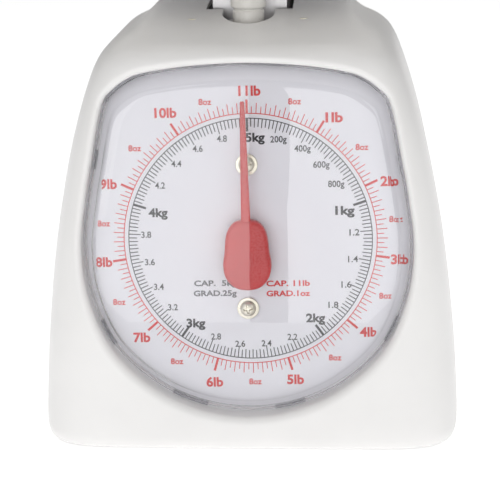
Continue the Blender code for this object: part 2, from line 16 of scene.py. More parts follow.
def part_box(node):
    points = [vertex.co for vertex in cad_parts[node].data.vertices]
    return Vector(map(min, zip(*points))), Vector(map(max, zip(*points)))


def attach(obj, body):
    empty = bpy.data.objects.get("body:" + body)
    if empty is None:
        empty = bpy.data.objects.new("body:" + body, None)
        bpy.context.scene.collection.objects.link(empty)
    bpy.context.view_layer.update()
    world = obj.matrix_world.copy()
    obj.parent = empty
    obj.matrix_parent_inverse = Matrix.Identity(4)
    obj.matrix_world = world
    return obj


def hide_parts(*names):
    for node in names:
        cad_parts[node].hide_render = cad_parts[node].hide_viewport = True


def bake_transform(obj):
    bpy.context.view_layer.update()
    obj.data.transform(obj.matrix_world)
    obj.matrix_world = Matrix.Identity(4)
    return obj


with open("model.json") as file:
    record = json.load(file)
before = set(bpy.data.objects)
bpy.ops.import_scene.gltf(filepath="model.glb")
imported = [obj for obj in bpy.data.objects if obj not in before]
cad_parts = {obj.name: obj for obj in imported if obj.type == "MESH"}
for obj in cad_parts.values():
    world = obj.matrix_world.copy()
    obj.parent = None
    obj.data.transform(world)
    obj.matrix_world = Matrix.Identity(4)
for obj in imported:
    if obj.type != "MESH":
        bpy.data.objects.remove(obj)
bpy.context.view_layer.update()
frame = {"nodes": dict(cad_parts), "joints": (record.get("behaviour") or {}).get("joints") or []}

MM = 0.001


def joint(name):
    return next(j for j in frame["joints"] if j["name"] == name)


def box(node):
    """Lowest and highest corner of a CAD node in millimetres."""
    low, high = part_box(node)
    return np.array(low) / MM, np.array(high) / MM


SPIN = joint("pointer_spin")
DIAL = np.array(SPIN["pos_m"]) / MM
OUT = np.array(SPIN["axis"])
OUT = OUT / np.linalg.norm(OUT)
RIGHT = np.array((1.0, 0.0, 0.0))
UP = np.cross(OUT, RIGHT)
SEAM_Y = 40.0
SEAM_GAP = 0.15
WALL = 2.5
HEART = np.array((0.0, 10.0, 105.0))     # the casing's surface is seen whole from here

# Casing levels: height, half width, front, back, squareness of the plan outline
LEVELS = np.array((
    (0.8, 104.5, -93.5, 93.5, 8.0), (2.5, 106.2, -95.2, 95.2, 8.0), (8.0, 107.2, -96.0, 96.0, 8.0),
    (32.0, 106.3, -93.5, 94.5, 8.0), (75.0, 102.6, -89.2, 91.0, 8.0), (106.0, 98.5, -86.2, 88.0, 8.0),
    (126.0, 94.9, -84.4, 86.0, 8.0), (147.0, 90.5, -82.6, 83.5, 8.0), (167.0, 85.1, -80.8, 80.5, 8.0),
    (180.0, 80.8, -79.7, 78.5, 8.0), (190.0, 76.9, -78.6, 76.5, 7.6), (195.5, 73.8, -77.2, 75.0, 7.2),
    (199.0, 70.6, -75.0, 73.0, 6.8), (201.6, 67.2, -71.5, 70.6, 6.4), (205.2, 60.3, -60.5, 66.5, 5.8),
    (208.7, 56.0, -49.0, 62.0, 5.4), (211.6, 53.0, -38.0, 58.0, 5.2), (213.6, 51.0, -27.0, 54.0, 5.0),
    (214.6, 48.5, -18.0, 49.0, 5.0), (215.0, 44.5, -10.0, 46.0, 5.0), (215.25, 38.0, -2.0, 41.5, 5.0),
    (215.35, 30.0, 6.0, 36.0, 5.0),
))
WINDOW = (
    (0, 88.3), (28, 86.9), (50, 83.6), (59, 80), (65, 75.5), (69.8, 70.2), (73, 59), (76.2, 42),
    (80, 21.5), (82.8, -3.5), (79.8, -28.7), (68.8, -54.4), (48.5, -74), (25.2, -85.3), (0, -89.1),
)
HUB = (
    (0, 10.6), (6, 9.2), (9.4, 5), (10.6, 0), (11.1, -5.5), (12, -12.5), (10.6, -19), (6.2, -23.6),
    (0, -24.9),
)


# ---- curves and surfaces in numpy

def rising_cubic(x, xs, ys):
    """Cubic pieces through the points that never overshoot.

    Each inner slope is the weighted harmonic mean of the slopes on both sides, or zero where the
    two differ in sign, and each piece is the Hermite cubic of its end values and slopes.
    """
    step = np.diff(xs)
    rise = np.diff(ys) / step
    slope = np.concatenate(([rise[0]], np.zeros(len(xs) - 2), [rise[-1]]))
    same = rise[1:] * rise[:-1] > 0
    a, b = 2 * step[1:] + step[:-1], step[1:] + 2 * step[:-1]
    low, high = np.where(same, rise[:-1], 1), np.where(same, rise[1:], 1)
    slope[1:-1] = np.where(same, (a + b) / (a / low + b / high), 0)
    i = np.clip(np.searchsorted(xs, x) - 1, 0, len(step) - 1)
    t = (x - xs[i]) / step[i]
    return (ys[i] * (1 + 2 * t) * (1 - t) ** 2 + slope[i] * step[i] * t * (1 - t) ** 2
            + ys[i + 1] * t ** 2 * (3 - 2 * t) + slope[i + 1] * step[i] * t ** 2 * (t - 1))


HEIGHTS = np.linspace(LEVELS[0, 0], LEVELS[-1, 0], 3000)
SHAPE = np.array([rising_cubic(HEIGHTS, LEVELS[:, 0], LEVELS[:, k]) for k in (1, 2, 3, 4)])


def plan_at(z):
    """Half width, middle, half depth and squareness of the casing's plan outline at height z."""
    half, front, back, power = (np.interp(z, HEIGHTS, row) for row in SHAPE)
    return half, (front + back) / 2, (back - front) / 2, power


def inside_casing(p):
    """True where |x / half|^n + |(y - mid) / deep|^n is below 1 at that height."""
    half, mid, deep, power = plan_at(p[..., 2])
    q = np.abs(p[..., 0] / half) ** power + np.abs((p[..., 1] - mid) / deep) ** power
    return (q < 1) & (p[..., 2] < LEVELS[-1, 0])


def casing_hit(start, way, reach=260.0):
    """Where rays leave the casing, found by halving each ray's stretch 36 times."""
    low = np.zeros(way.shape[:-1])
    high = np.full(way.shape[:-1], reach)
    for _ in range(36):
        mid = (low + high) / 2
        within = inside_casing(start + way * mid[..., None])
        low, high = np.where(within, mid, low), np.where(within, high, mid)
    return start + way * low[..., None]


def dial_point(x, y, off):
    x, y, off = np.broadcast_arrays(*(np.asarray(v, float) for v in (x, y, off)))
    return DIAL + x[..., None] * RIGHT + y[..., None] * UP + off[..., None] * OUT


def unit(v):
    return v / np.linalg.norm(v, axis=-1, keepdims=True)


def closed_curve(half, steps):
    """Catmull-Rom curve through a right half outline and its mirror image, counter clockwise."""
    pts = np.array(list(half) + [(-x, y) for x, y in reversed(half[1:-1])], float)[::-1]
    p0, p1, p2, p3 = (np.roll(pts, -k, 0)[:, None] for k in (-1, 0, 1, 2))
    t = (np.arange(steps) / steps)[None, :, None]
    loop = 0.5 * (2 * p1 + (p2 - p0) * t + (2 * p0 - 5 * p1 + 4 * p2 - p3) * t ** 2
                  + (3 * p1 - p0 - 3 * p2 + p3) * t ** 3)
    return loop.reshape(-1, 2)


def along(curve, count, weight=0.0, closed=True):
    """Points at equal steps of arc length, with more of them where the curve turns by weight."""
    ring = np.vstack([curve, curve[:1]]) if closed else curve
    piece = np.diff(ring, axis=0)
    size = np.linalg.norm(piece, axis=1)
    if weight:
        way = unit(piece)
        turn = np.linalg.norm(way - np.roll(way, 1, 0), axis=1)
        if not closed:
            turn[0] = 0
        size = size + weight * turn
    total = np.concatenate(([0], np.cumsum(size)))
    at = np.linspace(0, total[-1], count + 1)[:-1] if closed else np.linspace(0, total[-1], count)
    return np.stack([np.interp(at, total, ring[:, k]) for k in range(curve.shape[1])], 1)


def window_curve(count):
    return along(closed_curve(WINDOW, 24), count)


def outward(loop):
    """Unit normals of a counter clockwise outline, pointing away from its inside."""
    way = np.roll(loop, -1, 0) - np.roll(loop, 1, 0)
    return unit(np.stack([way[:, 1], -way[:, 0]], 1))


def grid(rows, cols, first=0, wrap=True):
    """Quads of a rows by cols block of vertices; wrap joins the last column to the first."""
    r, c = np.arange(rows - 1)[:, None], np.arange(cols if wrap else cols - 1)[None, :]
    n = (c + 1) % cols
    quads = np.stack([r * cols + c, r * cols + n, (r + 1) * cols + n, (r + 1) * cols + c], -1)
    return (quads.reshape(-1, 4) + first).tolist()


def fan(ring, centre):
    return [[ring[i], ring[(i + 1) % len(ring)], centre] for i in range(len(ring))]


def skin(rings, cap_first=True, cap_last=True):
    """Vertices and faces of rings joined in order, each open end closed by a fan to its middle."""
    rings = np.asarray(rings, float)
    rows, cols = rings.shape[:2]
    verts, faces = [rings.reshape(-1, 3)], grid(rows, cols)
    total = rows * cols
    for wanted, row in ((cap_first, 0), (cap_last, rows - 1)):
        if wanted:
            verts.append(rings[row].mean(0)[None])
            faces += fan(list(range(row * cols, (row + 1) * cols)), total)
            total += 1
    return np.vstack(verts), faces


def lathe(profile, sides, middle=(0.0, 0.0, 0.0)):
    """A profile of radius and height turned round a vertical axis; radius 0 becomes one pole."""
    profile = np.asarray(profile, float)
    angle = 2 * pi * np.arange(sides) / sides
    body = profile[profile[:, 0] > 1e-6]
    rings = np.stack([body[:, :1] * np.cos(angle), body[:, :1] * np.sin(angle),
                      np.repeat(body[:, 1:], sides, 1)], -1)
    closed_ring = profile[0, 0] > 1e-6 and profile[-1, 0] > 1e-6
    if closed_ring:
        rings = np.concatenate([rings, rings[:1]])
        verts = rings[:-1].reshape(-1, 3)
        faces = [[i % len(verts) for i in quad] for quad in grid(len(rings), sides)]
    else:
        verts, faces = skin(rings)
        verts[-2], verts[-1] = (0, 0, profile[0, 1]), (0, 0, profile[-1, 1])
    return verts + np.array(middle), faces


def rounded(points, radius, steps=4):
    """An open outline with each inner corner replaced by a curve that starts radius away from it."""
    pts = np.asarray(points, float)
    out = [pts[0]]
    for a, b, c in zip(pts[:-2], pts[1:-1], pts[2:]):
        back, on = a - b, c - b
        r = min(radius, np.linalg.norm(back) * 0.49, np.linalg.norm(on) * 0.49)
        start, end = b + unit(back) * r, b + unit(on) * r
        for t in np.linspace(0, 1, steps + 1):
            out.append((1 - t) ** 2 * start + 2 * t * (1 - t) * b + t ** 2 * end)
    out.append(pts[-1])
    return np.array(out)


def to_dial(verts):
    """From the dial's frame, with its third value off the face, to the scale's."""
    return dial_point(verts[:, 0], verts[:, 1], verts[:, 2])


# ---- making pieces

def new_mesh(name, verts, faces, material):
    mesh = bpy.data.meshes.new(name)
    mesh.from_pydata((np.asarray(verts) * MM).tolist(), [], faces)
    bm = bmesh.new()
    bm.from_mesh(mesh)
    bmesh.ops.recalc_face_normals(bm, faces=bm.faces)
    bm.to_mesh(mesh)
    bm.free()
    mesh.materials.append(material)
    obj = bpy.data.objects.new(name, mesh)
    bpy.context.scene.collection.objects.link(obj)
    return obj


def shade(obj, angle=40.0):
    obj.data.polygons.foreach_set("use_smooth", [True] * len(obj.data.polygons))
    obj.data.set_sharp_from_angle(angle=radians(angle))


def piece(name, shape, material, body="casing", instead=(), slot=None, angle=40.0):
    """A new piece that rides on a body and stands for the CAD nodes named in instead."""
    obj = new_mesh(name, *shape, material)
    shade(obj, angle)
    settle(obj, body, instead)
    return obj


def settle(obj, body, instead=()):
    if body:
        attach(obj, body)
    if instead:
        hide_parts(*instead)


def merged(*shapes):
    """Several closed shapes as one vertex array and one face list."""
    verts, faces, total = [], [], 0
    for v, f in shapes:
        verts.append(np.asarray(v, float))
        faces += [[i + total for i in face] for face in f]
        total += len(v)
    return np.vstack(verts), faces


def bake(obj, material, angle=40.0):
    """Keeps the object's evaluated mesh and drops its modifiers."""
    graph = bpy.context.evaluated_depsgraph_get()
    mesh = bpy.data.meshes.new_from_object(obj.evaluated_get(graph), depsgraph=graph)
    obj.modifiers.clear()
    obj.data = mesh
    mesh.materials.clear()
    mesh.materials.append(material)
    shade(obj, angle)


def carve(obj, *cutters):
    for cutter in cutters:
        mod = obj.modifiers.new("Carve", "BOOLEAN")
        mod.operation, mod.solver, mod.object = "DIFFERENCE", "EXACT", cutter


def discard(*objs):
    for obj in objs:
        bpy.data.objects.remove(obj, do_unlink=True)


# ---- material nodes

def node(tree, kind, inputs=None, **settings):
    """Adds a shader node. Each input is another socket to link or a constant to set."""
    made = tree.nodes.new("ShaderNode" + kind)
    for key, value in settings.items():
        setattr(made, key, value)
    for key, value in (inputs or {}).items():
        if isinstance(value, bpy.types.NodeSocket):
            tree.links.new(value, made.inputs[key])
        else:
            made.inputs[key].default_value = value
    return made


def start_group(name, inputs, outputs):
    tree = bpy.data.node_groups.new(name, "ShaderNodeTree")
    for label, kind, value in inputs:
        socket = tree.interface.new_socket(label, in_out="INPUT", socket_type="NodeSocket" + kind)
        if value is not None:
            socket.default_value = value
    for label, kind in outputs:
        tree.interface.new_socket(label, in_out="OUTPUT", socket_type="NodeSocket" + kind)
    return tree, tree.nodes.new("NodeGroupInput").outputs, tree.nodes.new("NodeGroupOutput").inputs


def math_node(tree, operation, a, b, clamp=False):
    return node(tree, "Math", {0: a, 1: b}, operation=operation, use_clamp=clamp).outputs[0]


def span(tree, value, low, high, to_low=0.0, to_high=1.0):
    return node(tree, "MapRange", {"Value": value, "From Min": low, "From Max": high, "To Min": to_low,
                                   "To Max": to_high}).outputs[0]


def make_grain_group():
    """Fine moulded or cast texture: two sizes of noise as a mask and as a bumped normal."""
    tree, given, result = start_group(
        "fine_grain", (("Vector", "Vector", None), ("Size", "Float", 900.0), ("Height", "Float", 0.05)),
        (("Mask", "Float"), ("Broad", "Float"), ("Normal", "Vector")))
    fine = node(tree, "TexNoise", {"Vector": given["Vector"], "Scale": given["Size"], "Detail": 4.0})
    broad = node(tree, "TexNoise", {"Vector": given["Vector"], "Scale": 38.0, "Detail": 3.0})
    both = math_node(tree, "MULTIPLY_ADD", broad.outputs[0], 1.6)
    tree.links.new(fine.outputs[0], both.node.inputs[2])
    bump = node(tree, "Bump", {"Height": both, "Strength": given["Height"], "Distance": 0.0004})
    tree.links.new(fine.outputs[0], result["Mask"])
    tree.links.new(broad.outputs[0], result["Broad"])
    tree.links.new(bump.outputs[0], result["Normal"])
    return tree


def make_streak_group():
    """Brushing or rolling marks: noise drawn out along one axis, as a mask and a normal."""
    tree, given, result = start_group(
        "drawn_streaks", (("Vector", "Vector", None), ("Stretch", "Vector", (1.0, 60.0, 60.0)),
                          ("Height", "Float", 0.08)), (("Mask", "Float"), ("Normal", "Vector")))
    wide = node(tree, "VectorMath", {0: given["Vector"], 1: given["Stretch"]}, operation="MULTIPLY")
    fine = node(tree, "TexNoise", {"Vector": wide.outputs[0], "Scale": 30.0, "Detail": 5.0,
                                   "Roughness": 0.7})
    bump = node(tree, "Bump", {"Height": fine.outputs[0], "Strength": given["Height"],
                               "Distance": 0.0002})
    tree.links.new(fine.outputs[0], result["Mask"])
    tree.links.new(bump.outputs[0], result["Normal"])
    return tree


def make_wear_group():
    """Mask of rubbed outer edges: the surface's own sharpness, broken up by noise."""
    tree, given, result = start_group(
        "edge_wear", (("Vector", "Vector", None), ("Amount", "Float", 1.0)), (("Mask", "Float"),))
    sharp = node(tree, "NewGeometry").outputs["Pointiness"]
    broken = node(tree, "TexNoise", {"Vector": given["Vector"], "Scale": 260.0, "Detail": 4.0})
    edge = span(tree, sharp, 0.52, 0.60)
    mask = math_node(tree, "MULTIPLY", edge, broken.outputs[0])
    tree.links.new(math_node(tree, "MULTIPLY", mask, given["Amount"], True), result["Mask"])
    return tree


def make_dust_group():
    """Mask of settled dust and handling film: surfaces that face up, broken up by two noises."""
    tree, given, result = start_group(
        "settled_dust", (("Vector", "Vector", None), ("Amount", "Float", 0.3)), (("Mask", "Float"),))
    facing = node(tree, "SeparateXYZ", {0: node(tree, "NewGeometry").outputs["Normal"]}).outputs["Z"]
    level = span(tree, facing, 0.2, 1.0)
    cloud = node(tree, "TexNoise", {"Vector": given["Vector"], "Scale": 22.0, "Detail": 5.0})
    speck = node(tree, "TexNoise", {"Vector": given["Vector"], "Scale": 1400.0, "Detail": 2.0})
    spread = math_node(tree, "ADD", cloud.outputs[0], math_node(tree, "MULTIPLY", speck.outputs[0], 0.5))
    soft = math_node(tree, "MULTIPLY", span(tree, spread, 0.45, 1.1), level)
    tree.links.new(math_node(tree, "MULTIPLY", soft, given["Amount"], True), result["Mask"])
    return tree


GRAIN, STREAKS, WEAR, DUST = (make_grain_group(), make_streak_group(), make_wear_group(),
                              make_dust_group())


def group_node(tree, group, inputs):
    made = tree.nodes.new("ShaderNodeGroup")
    made.node_tree = group
    for key, value in inputs.items():
        if isinstance(value, bpy.types.NodeSocket):
            tree.links.new(value, made.inputs[key])
        else:
            made.inputs[key].default_value = value
    return made.outputs


def blend_colour(tree, mask, a, b):
    mix = node(tree, "Mix", data_type="RGBA")
    for index, value in ((0, mask), (6, a), (7, b)):
        if isinstance(value, bpy.types.NodeSocket):
            tree.links.new(value, mix.inputs[index])
        else:
            mix.inputs[index].default_value = value if index == 0 else (*value, 1.0)
    return mix.outputs[2]


def start_material(name):
    mat = bpy.data.materials.new(name)
    mat.use_nodes = True
    tree = mat.node_tree
    place = node(tree, "TexCoord").outputs["Object"]
    return mat, tree, tree.nodes["Principled BSDF"], place


def moulding(name, colour, shadow, rough=0.3, size=900.0, height=0.04, wear=0.0, dust=0.15, coat=0.0,
             spec=0.5):
    """Moulded plastic or rubber: broad tone changes, fine grain, rubbed edges and a little dust."""
    mat, tree, shader, place = start_material(name)
    grain = group_node(tree, GRAIN, {"Vector": place, "Size": size, "Height": height})
    tone = blend_colour(tree, span(tree, grain["Broad"], 0.3, 0.7), shadow, colour)
    worn = group_node(tree, WEAR, {"Vector": place, "Amount": wear})["Mask"]
    tone = blend_colour(tree, worn, tone, tuple(min(1.0, c * 1.12 + 0.02) for c in colour))
    film = group_node(tree, DUST, {"Vector": place, "Amount": dust})["Mask"]
    tone = blend_colour(tree, film, tone, (0.62, 0.60, 0.57))
    dull = math_node(tree, "ADD", span(tree, grain["Mask"], 0.25, 0.75, rough - 0.05, rough + 0.05),
                     math_node(tree, "MULTIPLY", film, 0.4))
    tree.links.new(tone, shader.inputs["Base Color"])
    tree.links.new(dull, shader.inputs["Roughness"])
    tree.links.new(grain["Normal"], shader.inputs["Normal"])
    shader.inputs["Coat Weight"].default_value = coat
    shader.inputs["Specular IOR Level"].default_value = spec
    return mat


def metalwork(name, colour, shade_to, rough=0.32, stretch=(1.0, 60.0, 60.0), height=0.08, wear=0.5,
              dust=0.1):
    """Drawn, rolled or brushed metal: streaks in tone, gloss and relief, worn edges and dust."""
    mat, tree, shader, place = start_material(name)
    streak = group_node(tree, STREAKS, {"Vector": place, "Stretch": stretch, "Height": height})
    cloud = group_node(tree, GRAIN, {"Vector": place, "Size": 420.0, "Height": 0.03})
    tone = blend_colour(tree, span(tree, streak["Mask"], 0.3, 0.7), shade_to, colour)
    tone = blend_colour(tree, span(tree, cloud["Broad"], 0.35, 0.8, 0.0, 0.5), tone, shade_to)
    worn = group_node(tree, WEAR, {"Vector": place, "Amount": wear})["Mask"]
    tone = blend_colour(tree, worn, tone, tuple(min(1.0, c * 1.25) for c in colour))
    film = group_node(tree, DUST, {"Vector": place, "Amount": dust})["Mask"]
    tone = blend_colour(tree, film, tone, (0.5, 0.48, 0.45))
    dull = math_node(tree, "ADD", span(tree, streak["Mask"], 0.2, 0.8, rough - 0.07, rough + 0.09),
                     math_node(tree, "MULTIPLY", film, 0.5))
    tree.links.new(tone, shader.inputs["Base Color"])
    tree.links.new(dull, shader.inputs["Roughness"])
    tree.links.new(streak["Normal"], shader.inputs["Normal"])
    shader.inputs["Metallic"].default_value = 1.0
    return mat


def clear_lens(name):
    """Clear moulded plastic with faint smudges; light falls through it without a hard shadow."""
    mat, tree, shader, place = start_material(name)
    grain = group_node(tree, GRAIN, {"Vector": place, "Size": 60.0, "Height": 0.01})
    film = group_node(tree, DUST, {"Vector": place, "Amount": 0.1})["Mask"]
    dull = math_node(tree, "ADD", span(tree, grain["Broad"], 0.45, 0.8, 0.0, 0.03),
                     math_node(tree, "MULTIPLY", film, 0.2))
    tree.links.new(dull, shader.inputs["Roughness"])
    tree.links.new(grain["Normal"], shader.inputs["Normal"])
    tree.links.new(blend_colour(tree, film, (0.985, 0.985, 0.995), (0.9, 0.9, 0.9)),
                   shader.inputs["Base Color"])
    shader.inputs["IOR"].default_value = 1.49
    shader.inputs["Metallic"].default_value = 0.0
    shader.inputs["Transmission Weight"].default_value = 1.0
    through = node(tree, "BsdfTransparent", {"Color": (0.93, 0.93, 0.94, 1.0)})
    shadow = node(tree, "LightPath").outputs["Is Shadow Ray"]
    mix = node(tree, "MixShader", {0: shadow, 1: shader.outputs[0], 2: through.outputs[0]})
    tree.links.new(mix.outputs[0], tree.nodes["Material Output"].inputs["Surface"])
    return mat


CASING_WHITE = moulding("covers_white_moulding", (0.86, 0.85, 0.84), (0.835, 0.825, 0.815), rough=0.34,
                        size=700.0, height=0.02, wear=0.2, dust=0.06)
BASE_WHITE = moulding("base_and_core_moulding", (0.8, 0.79, 0.77), (0.74, 0.73, 0.71), rough=0.45,
                      size=600.0, height=0.06, wear=0.3)
KNOB_WHITE = moulding("zero_knob_moulding", (0.86, 0.84, 0.80), (0.81, 0.79, 0.75), rough=0.3,
                      size=800.0, height=0.03, wear=0.2, dust=0.05)
DIAL_WHITE = moulding("dial_printed_face", (0.83, 0.825, 0.86), (0.805, 0.80, 0.84), rough=0.42,
                      size=2600.0, height=0.015, dust=0.03, spec=0.3)
INK_BLACK = moulding("scale_ink_black", (0.02, 0.02, 0.024), (0.035, 0.035, 0.04), rough=0.45,
                     size=5000.0, height=0.05, dust=0.0, spec=0.3)
INK_GREY = moulding("legend_ink_grey", (0.10, 0.10, 0.11), (0.14, 0.14, 0.15), rough=0.45, size=5000.0,
                    height=0.05, dust=0.0, spec=0.3)
INK_RED = moulding("scale_ink_red", (0.66, 0.03, 0.03), (0.72, 0.06, 0.055), rough=0.45, size=5000.0,
                   height=0.05, dust=0.0, spec=0.3)
POINTER_RED = moulding("pointer_red_moulding", (0.60, 0.035, 0.035), (0.52, 0.03, 0.03), rough=0.28,
                       size=1500.0, height=0.02, wear=0.3, dust=0.04)
FOOT_RUBBER = moulding("foot_rubber", (0.03, 0.03, 0.032), (0.02, 0.02, 0.021), rough=0.75,
                       size=1300.0, height=0.3, wear=0.6, dust=0.5)
LENS_CLEAR = clear_lens("dial_lens_clear")
SHEET_STEEL = metalwork("chassis_plated_sheet", (0.60, 0.60, 0.62), (0.48, 0.48, 0.50), rough=0.36)
BRACKET_STEEL = metalwork("bracket_painted_sheet", (0.70, 0.69, 0.70), (0.62, 0.61, 0.62), rough=0.42,
                          stretch=(60.0, 60.0, 1.0))
PIN_STEEL = metalwork("turned_pins", (0.56, 0.56, 0.57), (0.42, 0.42, 0.43), rough=0.24,
                      stretch=(60.0, 1.0, 1.0))
SCREW_ZINC = metalwork("screw_passivated_zinc", (0.78, 0.74, 0.63), (0.62, 0.58, 0.47), rough=0.3,
                       stretch=(30.0, 30.0, 8.0), height=0.15, wear=0.9)
GEAR_BRASS = metalwork("gear_brass", (0.75, 0.57, 0.28), (0.60, 0.43, 0.19), rough=0.3,
                       stretch=(20.0, 20.0, 3.0))
SPRING_WIRE = metalwork("spring_drawn_wire", (0.48, 0.48, 0.50), (0.32, 0.32, 0.34), rough=0.28,
                        stretch=(8.0, 8.0, 30.0))
PLATFORM_STEEL = metalwork("platform_brushed_stainless", (0.66, 0.66, 0.67), (0.56, 0.56, 0.57),
                           rough=0.27, stretch=(1.0, 70.0, 20.0), height=0.05, dust=0.05)


# ---- covers

FILLET = 4.0            # rolled edge round the window
COLLAR_FOOT = 0.3       # bottom of the window's collar, off the dial's face


def boundary_point(angle):
    """Where the front cover ends, for each angle from straight down round to straight up.

    Up to 44 degrees it is the front bottom edge, from there to 60 degrees the bottom edge along
    the side back to the seam, and then the seam from the bottom up over the top.
    """
    angle, side = np.abs(angle), np.sign(angle)
    half, mid, deep, power = plan_at(LEVELS[0, 0])
    turn = np.radians(np.linspace(-90.0, 0.0, 4001))
    c, s = np.abs(np.cos(turn)) ** (2 / power), -np.abs(np.sin(turn)) ** (2 / power)
    edge = np.stack([half * c, mid + deep * s], 1)
    bearing = np.degrees(np.arctan2(edge[:, 0], HEART[2] - LEVELS[0, 0]))
    corner = np.searchsorted(edge[:, 0], half * 0.917)
    front = np.interp(angle, (0, 44), (0, bearing[corner]))
    x = np.interp(front, bearing[:corner + 1], edge[:corner + 1, 0])
    y = np.interp(front, bearing[:corner + 1], edge[:corner + 1, 1])
    rest = np.vstack([edge[corner:], [[half, SEAM_Y - SEAM_GAP]]])
    run = np.concatenate(([0], np.cumsum(np.linalg.norm(np.diff(rest, axis=0), axis=1))))
    t = np.clip((angle - 44) / 16, 0, 1) * run[-1]
    x = np.where(angle > 44, np.interp(t, run, rest[:, 0]), x)
    y = np.where(angle > 44, np.interp(t, run, rest[:, 1]), y)
    lower = np.stack([x, y, np.full_like(x, LEVELS[0, 0])], -1)
    start = np.degrees(np.arctan2(half, HEART[2] - LEVELS[0, 0]))
    bearing = np.radians(np.interp(angle, (60, 105, 180), (start, 105, 180)))
    way = np.stack([np.sin(bearing), np.zeros_like(bearing), -np.cos(bearing)], -1)
    seam = casing_hit(np.array((0.0, SEAM_Y - SEAM_GAP, HEART[2])), way)
    point = np.where((angle > 60)[:, None], seam, lower)
    point[:, 0] *= side
    return point


def swept(start, end, rows, samples=420, weight=26.0):
    """Rows of points on the casing from start to end, closer together where the surface turns.

    Directions from the casing's heart go round evenly from one end to the other, each ray's exit
    is a point, and every column is then divided evenly by length plus weight times its turning.
    """
    a, b = unit(start - HEART), unit(end - HEART)
    swing = np.arccos(np.clip((a * b).sum(1), -1, 1))[None, :, None]
    s = np.linspace(0, 1, samples)[:, None, None]
    way = (np.sin((1 - s) * swing) * a + np.sin(s * swing) * b) / np.sin(swing)
    path = casing_hit(HEART, unit(way))
    path[0], path[-1] = start, end
    step = np.diff(path, axis=0)
    size = np.linalg.norm(step, axis=2)
    turn = np.linalg.norm(np.diff(unit(step), axis=0), axis=2)
    size[1:] += weight * turn
    total = np.vstack([np.zeros(size.shape[1]), np.cumsum(size, 0)])
    total /= total[-1]
    total = total + np.linspace(0, 1, samples)[:, None] * 0.3
    total /= total[-1]
    out = np.empty((rows, start.shape[0], 3))
    for c in range(start.shape[0]):
        for k in range(3):
            out[:, c, k] = np.interp(np.linspace(0, 1, rows), total[:, c], path[:, c, k])
    return out


def shell(name, verts, faces):
    """An open skin given the wall's thickness on its inner side."""
    obj = new_mesh(name, verts, faces, CASING_WHITE)
    wall = obj.modifiers.new("Wall", "SOLIDIFY")
    wall.thickness, wall.offset, wall.use_even_offset = WALL * MM, -1.0, False
    return obj


def face_out(obj):
    """Turns an open skin's faces away from the casing's heart."""
    mesh = obj.data
    heart = Vector(HEART * MM)
    votes = sum((p.center - heart).dot(p.normal) * p.area for p in mesh.polygons)
    if votes < 0:
        mesh.flip_normals()


def front_shell():
    """From the collar's foot up its wall, over the rolled edge and out over the whole front cover."""
    count = 360
    loop = window_curve(count)
    away = outward(loop)
    depth = casing_hit(dial_point(loop[:, 0], loop[:, 1], 0.0), np.broadcast_to(OUT, (count, 3)), 60.0)
    edge_off = (depth - DIAL) @ OUT
    rows = []
    for t in (0.0, 0.35, 0.7):
        rows.append(dial_point(loop[:, 0], loop[:, 1], COLLAR_FOOT + t * (edge_off - FILLET - COLLAR_FOOT)))
    for a in np.radians(np.linspace(0, 90, 9)):
        reach, drop = FILLET * (1 - cos(a)), FILLET * (1 - sin(a))
        at = loop + away * reach
        top = casing_hit(dial_point(at[:, 0], at[:, 1], 0.0), np.broadcast_to(OUT, (count, 3)), 60.0)
        rows.append(top - drop * OUT)
    start = rows.pop()
    bearing = np.degrees(np.arctan2(start[:, 0], HEART[2] - start[:, 2]))
    field = swept(start, boundary_point(bearing), 60)
    rows = np.concatenate([np.array(rows), field])
    obj = shell("front_shell", rows.reshape(-1, 3), grid(len(rows), count))
    face_out(obj)
    return obj


def rear_shell():
    """The back half from the seam round: plan outlines at rising heights, ending in one point."""
    half, mid, deep, power = plan_at(HEIGHTS)
    back = mid + deep
    top = HEIGHTS[np.nonzero(back > SEAM_Y + SEAM_GAP + 0.4)[0][-1]]
    levels = np.interp(np.linspace(0, 1, 90), *np.array([(0, LEVELS[0, 0]), (0.06, 5.0), (0.1, 9.0),
                                                          (0.55, 185.0), (0.85, 212.0), (1.0, top)]).T)
    rows = []
    for z in levels:
        half, mid, deep, power = plan_at(z)
        low = np.arcsin(np.clip((SEAM_Y + SEAM_GAP - mid) / deep, 1e-4, 1) ** (power / 2))
        turn = np.linspace(low, pi - low, 400)
        curve = np.stack([half * np.abs(np.cos(turn)) ** (2 / power) * np.sign(np.cos(turn)),
                          mid + deep * np.sin(turn) ** (2 / power), np.full(400, z)], 1)
        rows.append(along(curve, 120, 14.0, closed=False))
    rows = np.array(rows)
    verts = np.vstack([rows.reshape(-1, 3), rows[-1].mean(0)[None]])
    last = [(len(rows) - 1) * 120 + i for i in range(120)]
    faces = grid(len(rows), 120, wrap=False) + [[last[i], last[i + 1], len(verts) - 1] for i in range(119)]
    obj = shell("rear_shell", verts, faces)
    face_out(obj)
    return obj


def slot_cutter():
    """The slot's rectangle with a notch in its front edge that ends in a half circle."""
    knob = box("zero_knob")
    knob_y = (knob[0][1] + knob[1][1]) / 2
    radius, half, long = 13.2, 22.1, 26.0
    notch = [(radius * cos(a), knob_y + radius * sin(a)) for a in np.linspace(pi, 2 * pi, 33)]
    loop = [(-half, long), (-half, -long), (-radius, -long), *notch, (radius, -long), (half, -long),
            (half, long)]
    loop = np.array(loop)
    rings = [np.column_stack([loop, np.full(len(loop), z)]) for z in (195.0, 226.0)]
    return new_mesh("slot_cutter", *skin(rings), CASING_WHITE)


